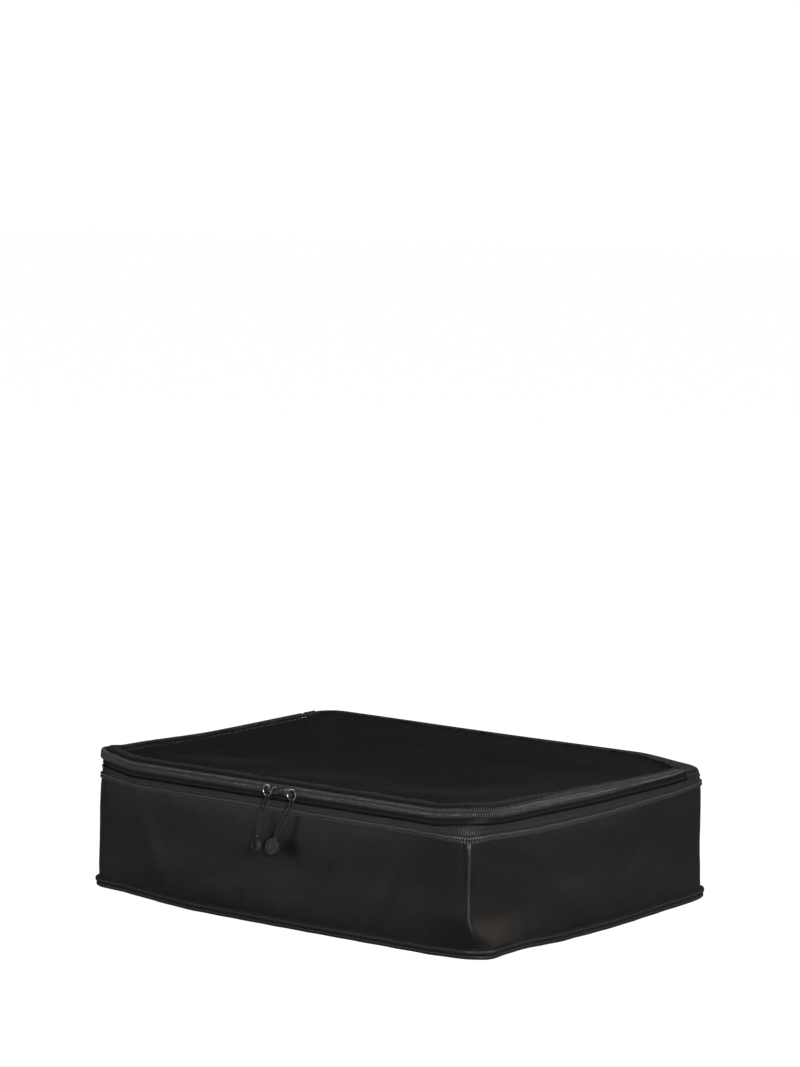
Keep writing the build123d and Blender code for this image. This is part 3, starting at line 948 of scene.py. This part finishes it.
tape_stitch = BAND_Z + 3.1
stitches("tape_stitches", tape_stitch, 0.72, 2.7, 2.1, ZIP_FIRST, ZIP_LAST, "bag", sewing_thread)
stitches(
    "band_stitches", rim_top + 1.3, 0.55, 2.9, 2.2, 2, ROUND - 2, "bag", sewing_thread,
)
stitches(
    "lid_stitches", SEAM_Z + 26.4, 0.95, 2.8, 2.1, ZIP_FIRST, ZIP_LAST, "lid", sewing_thread,
)

# The hinge is one cloth from the rim band over the back edge, to the lid.
HINGE_FIRST = ZIP_LAST - ROUND
HINGE_LAST = ZIP_FIRST
hinge_rows = [BAND_Z - 1.6, BAND_Z, BAND_Z + 3] + list(np.arange(BAND_Z + 5, SPLIT_Z + 5, 0.4))
hinge_rows += list(np.arange(SPLIT_Z + 5, SEAM_Z + LID_EDGE_W, 1.0))
hinge_profile = [(0.55, z) for z in hinge_rows] + [(-0.25, z) for z in hinge_rows[::-1]]
hinge = strip(
    "hinge_cloth", hinge_profile, None, twill, start=HINGE_FIRST, end=HINGE_LAST, step=2.0,
    replaces=["lower_hinge_flap", "upper_hinge_flap"],
)
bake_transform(hinge)

TAB_HALF = (tab_high[1] - tab_low[1]) / 2
TAB_MIDDLE = ENDS[2] + RUN_Y - ZIP_END
for name, low, high, body, node in (
    ("end_tabs_low", BAND_Z - 0.9, SPLIT_Z - GAP / 2 + 0.2, "bag", "lower_zip_end_tabs"),
    ("end_tabs_high", SPLIT_Z + GAP / 2 - 0.2, SEAM_Z + 24.8, "lid", "upper_zip_end_tabs"),
):
    tab_profile = sheet_profile(low, high, 0.6, 1.5, 0.8)
    pieces = []
    for middle in (TAB_MIDDLE, ROUND - TAB_MIDDLE):
        stations = middle + np.linspace(-TAB_HALF, TAB_HALF, 15)
        pieces.append(skin(stations, [p[0] for p in tab_profile], [p[1] for p in tab_profile], False, True))
    join(name, pieces, body, tape_cloth, [node])

# ---- The lid's edge and its net ----


def ragged(stations, outs, heights):
    """A soft selvedge: its inner edge waves in and out, and lifts a little."""
    outs, heights = np.broadcast_arrays(outs, heights)
    inner = smooth((heights - SEAM_Z - 27) / 6)
    wave = 0.55 * np.sin(stations / 0.62 + 1.3 * np.sin(stations / 9)) + 0.7 * np.sin(stations / 4.3) + 0.8 * np.sin(
        stations / 13.7 + 2
    )
    puff = 0.25 * np.sin(stations / 1.9 + 2 * np.sin(stations / 21)) + 0.3 * np.sin(stations / 8.3)
    return outs + inner * (puff + 0.25), heights + inner * wave * 0.8


selvedge_rows = SEAM_Z + np.array([26.9, 27.3, 28.0, 28.9, 29.8, 30.7, 31.6, 32.4, 33.2, 33.7])
selvedge_high = 0.62 + np.array([0.0, 0.45, 0.62, 0.66, 0.66, 0.64, 0.6, 0.55, 0.42, 0.12])
selvedge_low = selvedge_high * 0 - 0.05
selvedge_profile = list(zip(selvedge_high, selvedge_rows)) + list(zip(selvedge_low[::-1], selvedge_rows[::-1]))
strip(
    "lid_selvedge", selvedge_profile, "lid", selvedge_cloth, step=0.65, ripple=ragged,
    replaces=["lid_binding"],
)


def lid_net():
    """A knitted net of six-sided holes, stretched between the lid's edges, in two halves."""
    pitch, hole = 2.6, 0.66
    count = 360
    stations = np.arange(count) * ROUND / count
    rim = place(stations, 0.1, SEAM_Z + LID_EDGE_W + 1.2)
    row_step = pitch * math.sqrt(3) / 2
    wide, deep = rim[:, 0].max(), rim[:, 1].max()
    rows = np.arange(-int(deep / row_step) - 1, int(deep / row_step) + 2)
    columns = np.arange(-int(wide / pitch) - 1, int(wide / pitch) + 2)
    r, c = (v.ravel() for v in np.meshgrid(rows, columns, indexing="ij"))
    centre = np.stack([(c + 0.5 * (r % 2)) * pitch, r * row_step], 1)
    nearest = np.min(np.hypot(centre[:, None, 0] - rim[None, :, 0], centre[:, None, 1] - rim[None, :, 1]), 1)
    ax, ay = rim[:, 0], rim[:, 1]
    bx, by = np.roll(ax, -1), np.roll(ay, -1)
    px, py = centre[:, :1], centre[:, 1:]
    spans = (ay[None] > py) != (by[None] > py)
    cut = ax + (py - ay) * (bx - ax) / np.where(by == ay, 1e-9, by - ay)
    inside = (spans & (px < cut)).sum(1) % 2 == 1
    centre = centre[inside & (nearest > pitch * 0.3)]
    turn = np.arange(6) * math.pi / 3 + math.pi / 6
    corner = np.stack([np.cos(turn), np.sin(turn)], 1) * pitch / math.sqrt(3)
    warp = np.stack([1 + 0.04 * np.sin(centre[:, 1] / 37), 1 + 0.03 * np.sin(centre[:, 0] / 51)], 1)
    outer = centre[:, None] + corner[None]
    inner = centre[:, None] + corner[None] * hole * warp[:, None]
    flat = np.concatenate([outer, inner], 1)

    def level(xy):
        found = np.empty(len(xy))
        for first in range(0, len(xy), 20000):
            some = xy[first:first + 20000]
            gap2 = (some[:, None, 0] - rim[None, :, 0]) ** 2 + (some[:, None, 1] - rim[None, :, 1]) ** 2
            share = 1 / (gap2 + 4.0) ** 1.5
            near = np.sqrt(gap2.min(1))
            sag = 5.5 * smooth(near / 95) - 0.25 * smooth(near / 6)
            found[first:first + 20000] = (share * rim[None, :, 2]).sum(1) / share.sum(1) - sag
        x, y = xy[:, 0], xy[:, 1]
        edge = np.minimum(wide - np.abs(x), deep - np.abs(y))
        ripples = 0.5 * np.sin(x / 19 + 1.2 * np.sin(y / 33)) + 0.5 * np.sin(y / 24 + np.sin(x / 41))
        return found + ripples * smooth(edge / 30)

    points = np.empty((len(centre), 12, 3))
    points[..., :2] = flat
    points[..., 2] = level(flat.reshape(-1, 2)).reshape(-1, 12)
    points[:, 6:, 2] -= 0.22
    k = np.arange(6)
    one = np.stack([k, (k + 1) % 6, (k + 1) % 6 + 6, k + 6], 1)
    halves = (("lid_net_left", centre[:, 0] < 0), ("lid_net_right", centre[:, 0] >= 0))
    for name, chosen in halves:
        some = points[chosen]
        faces = (one[None] + (np.arange(len(some)) * 12)[:, None, None]).reshape(-1, 4)
        item = make_object(name, some.reshape(-1, 3), faces)
        tidy(item)
        dress(item, "lid", net_thread, ["mesh_panel"])


lid_net()

# ---- Room, light and camera ----

# The floor and the world are bright to the camera only, so that they don't wash out the black cloth.
FLOOR = 12.0
FLOOR_GLOW = 0.985
FILL = 0.035
floor_mesh = bpy.data.meshes.new("floor")
corners = [(-FLOOR, -FLOOR, 0), (FLOOR, -FLOOR, 0), (FLOOR, FLOOR, 0), (-FLOOR, FLOOR, 0)]
floor_mesh.from_pydata(corners, [], [(0, 1, 2, 3)])
floor = bpy.data.objects.new("floor", floor_mesh)
bpy.context.scene.collection.objects.link(floor)
paper = Shader("paper_floor")
paper_grain = paper.noise(paper.solid(), 60.0, 3.0)
paper_color = paper.mix(paper.spread(paper_grain, 0.3, 0.7), (0.3, 0.3, 0.3, 1), (0.33, 0.33, 0.33, 1))
floor.data.materials.append(paper.finish(paper_color, 0.9, specular=0.1))
seen = paper.add("ShaderNodeLightPath").outputs["Is Camera Ray"]
paper.feed(paper.surface.inputs["Emission Strength"], paper.math("MULTIPLY", seen, FLOOR_GLOW))
paper.surface.inputs["Emission Color"].default_value = (1, 1, 1, 1)

world = bpy.data.worlds.new("studio")
bpy.context.scene.world = world
world.use_nodes = True
nodes, links = world.node_tree.nodes, world.node_tree.links
background = nodes["Background"]
background.inputs["Color"].default_value = (1.0, 1.0, 1.0, 1)
path = nodes.new("ShaderNodeLightPath")
fill = nodes.new("ShaderNodeMapRange")
fill.inputs["To Min"].default_value = FILL
fill.inputs["To Max"].default_value = 1.1
links.new(path.outputs["Is Camera Ray"], fill.inputs["Value"])
links.new(fill.outputs[0], background.inputs["Strength"])


def soft_light(name, place_at, aim, size, power, tint=(1.0, 1.0, 1.0)):
    data = bpy.data.lights.new(name, "AREA")
    data.shape = "RECTANGLE"
    data.size, data.size_y = size
    data.energy = power
    data.color = tint
    lamp = bpy.data.objects.new(name, data)
    lamp.location = place_at
    lamp.rotation_euler = (Vector(aim) - Vector(place_at)).to_track_quat("-Z", "Y").to_euler()
    bpy.context.scene.collection.objects.link(lamp)


# Places and sizes are in metres and powers in watts.
soft_light("front", (-1.6, -2.2, 0.62), (-0.02, -0.16, 0.1), (1.1, 0.6), 9.5)
soft_light("corner", (1.75, -1.55, 0.75), (0.22, -0.16, 0.09), (0.1, 0.5), 42)
soft_light("side", (1.9, 1.4, 0.6), (0.22, -0.02, 0.1), (1.2, 0.8), 7, (1.0, 0.88, 0.8))
soft_light("top", (-0.4, 0.9, 1.9), (0, 0, 0.1), (1.2, 1.2), 9)

CAMERA_AT = (2.0606, -2.5700, 0.7120)
AZIMUTH, PITCH, ROLL = 38.736, 6.675, 0.26
camera_data = bpy.data.cameras.new("camera")
camera_data.sensor_fit = "VERTICAL"
camera_data.sensor_height = 36.0
camera_data.lens = 126.17
camera_data.clip_end = 60.0
camera = bpy.data.objects.new("camera", camera_data)
camera.location = CAMERA_AT
turn = Euler((math.radians(90 - PITCH), 0, math.radians(AZIMUTH))).to_matrix()
camera.rotation_euler = (turn @ Matrix.Rotation(math.radians(ROLL), 3, "Z")).to_euler()
bpy.context.scene.collection.objects.link(camera)
bpy.context.scene.camera = camera
bpy.context.scene.view_settings.view_transform = "Standard"
